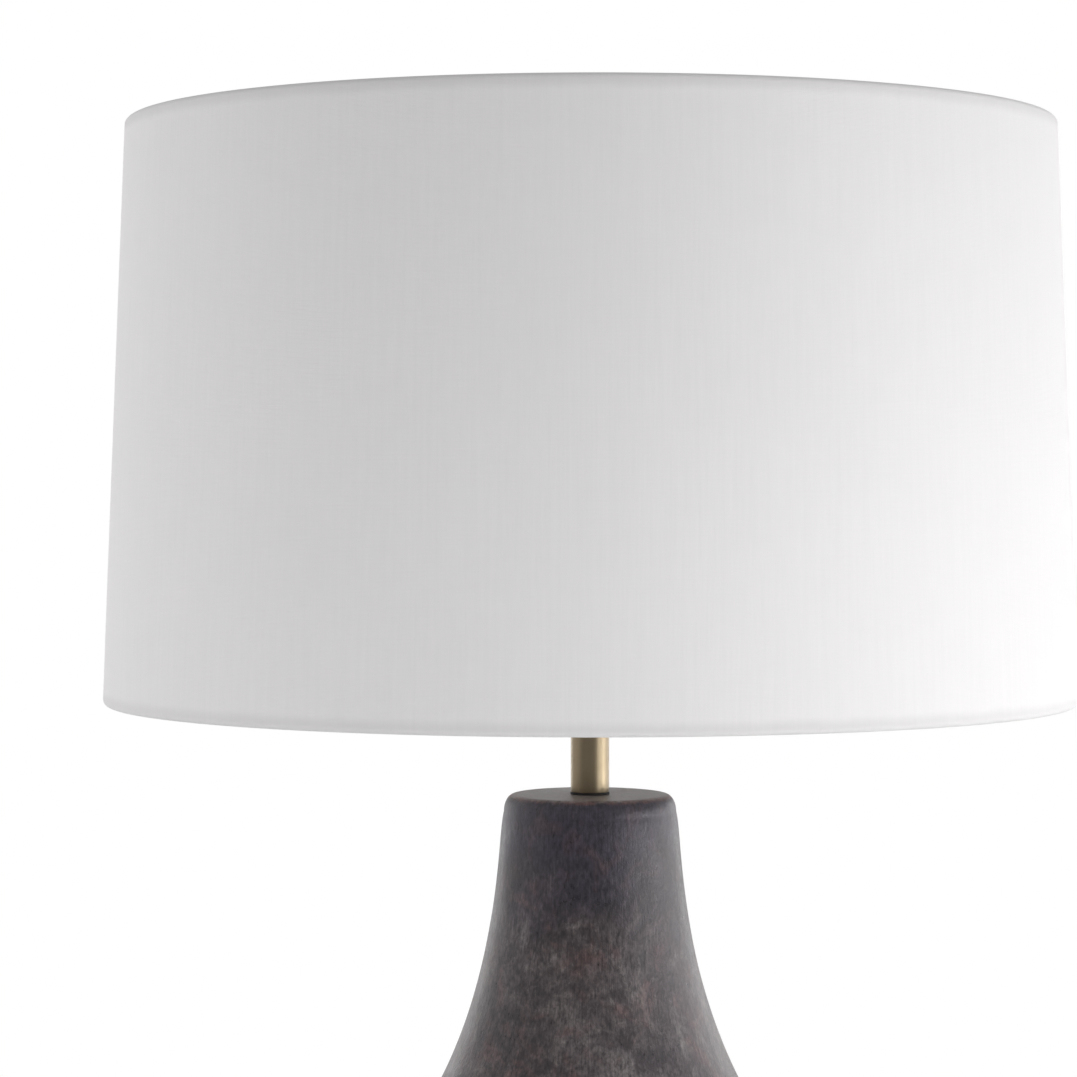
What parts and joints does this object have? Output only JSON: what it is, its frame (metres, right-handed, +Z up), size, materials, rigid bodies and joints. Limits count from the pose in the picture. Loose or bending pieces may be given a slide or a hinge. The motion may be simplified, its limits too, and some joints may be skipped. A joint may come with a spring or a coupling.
{
  "type": "table lamp with shade",
  "caption": "Table lamp: dark mottled ceramic body, brass neck, turn-switch socket with bulb, harp, and a wide off-white drum shade clamped by a finial.",
  "frame": {"origin": "centre of the felt pad's underside, where the lamp stands", "axes": "+Z up along the lamp's axis, -Y the front with the switch knob, +Y the back with the cord outlet, harp in the XZ plane"},
  "size_m": [0.5079, 0.508, 0.7704],
  "materials": {
    "body_glaze": "matt mottled charcoal reactive glaze",
    "felt": "pressed wool felt",
    "rubber": "matt moulded",
    "zinc_steel": "zinc plated",
    "plain_brass": "plain turned",
    "antique_brass": "satin antique",
    "cardboard": "waxed insulating board",
    "phenolic": "moulded phenolic",
    "frosted_glass": "inside frosted",
    "clear_glass": "clear",
    "cap_aluminium": "bright rolled",
    "black_glass": "fused black glass",
    "solder_tin": "tinned",
    "tungsten": "drawn",
    "white_enamel": "baked enamel",
    "styrene": "matt white sheet",
    "shade_fabric": "fine off-white plain weave"
  },
  "bodies": {
    "base": {"lamp_body": "body_glaze", "felt_pad": "felt", "clamp_gasket": "rubber", "clamp_plate": "zinc_steel", "lock_washer": "zinc_steel", "pipe_nut": "plain_brass", "threaded_pipe": "zinc_steel", "cord_grommet": "rubber", "neck_gasket": "rubber", "neck_tube": "antique_brass", "neck_centering_rings": "plain_brass", "neck_cap_washer": "antique_brass", "harp_saddle": "antique_brass", "saddle_locknut": "plain_brass", "socket_cap": "antique_brass", "cap_set_screw": "zinc_steel", "socket_shell": "antique_brass", "insulating_sleeve": "cardboard", "socket_interior": "phenolic", "screw_shell": "plain_brass", "centre_contact": "plain_brass", "terminal_screws": "plain_brass"},
    "harp": {"harp": "antique_brass", "harp_stud": "plain_brass"},
    "ferrule_left": {"ferrule_left": "antique_brass"},
    "ferrule_right": {"ferrule_right": "antique_brass"},
    "shade": {"spider": "white_enamel", "shade_top_wire": "white_enamel", "shade_bottom_wire": "white_enamel", "shade_liner": "styrene", "shade_fabric": "shade_fabric"},
    "finial": {"finial": "antique_brass"},
    "bulb": {"bulb_glass": "frosted_glass", "bulb_cap": "cap_aluminium", "bulb_insulator": "black_glass", "bulb_contact": "solder_tin", "bulb_stem": "clear_glass", "bulb_filament": "tungsten"},
    "switch": {"switch_shaft": "plain_brass", "switch_knob": "antique_brass"}
  },
  "joints": [
    {"name": "harp_lift", "type": "slide", "parent": "base", "child": "harp", "axis": [0, 0, 1], "range_m": [0, 0.05]},
    {"name": "ferrule_left_slide", "type": "slide", "parent": "harp", "child": "ferrule_left", "axis": [0, 0, 1], "range_m": [0, 0.012]},
    {"name": "ferrule_right_slide", "type": "slide", "parent": "harp", "child": "ferrule_right", "axis": [0, 0, 1], "range_m": [0, 0.012]},
    {"name": "shade_turn", "type": "hinge", "parent": "harp", "child": "shade", "pos_m": [0, 0, 0.742], "axis": [0, 0, 1], "continuous": true},
    {"name": "finial_turn", "type": "hinge", "parent": "harp", "child": "finial", "pos_m": [0, 0, 0.75], "axis": [0, 0, 1], "continuous": true},
    {"name": "bulb_turn", "type": "hinge", "parent": "base", "child": "bulb", "pos_m": [0, 0, 0.55], "axis": [0, 0, 1], "continuous": true},
    {"name": "switch_turn", "type": "hinge", "parent": "base", "child": "switch", "pos_m": [0, -0.02, 0.5203], "axis": [0, -1, 0], "continuous": true}
  ]
}
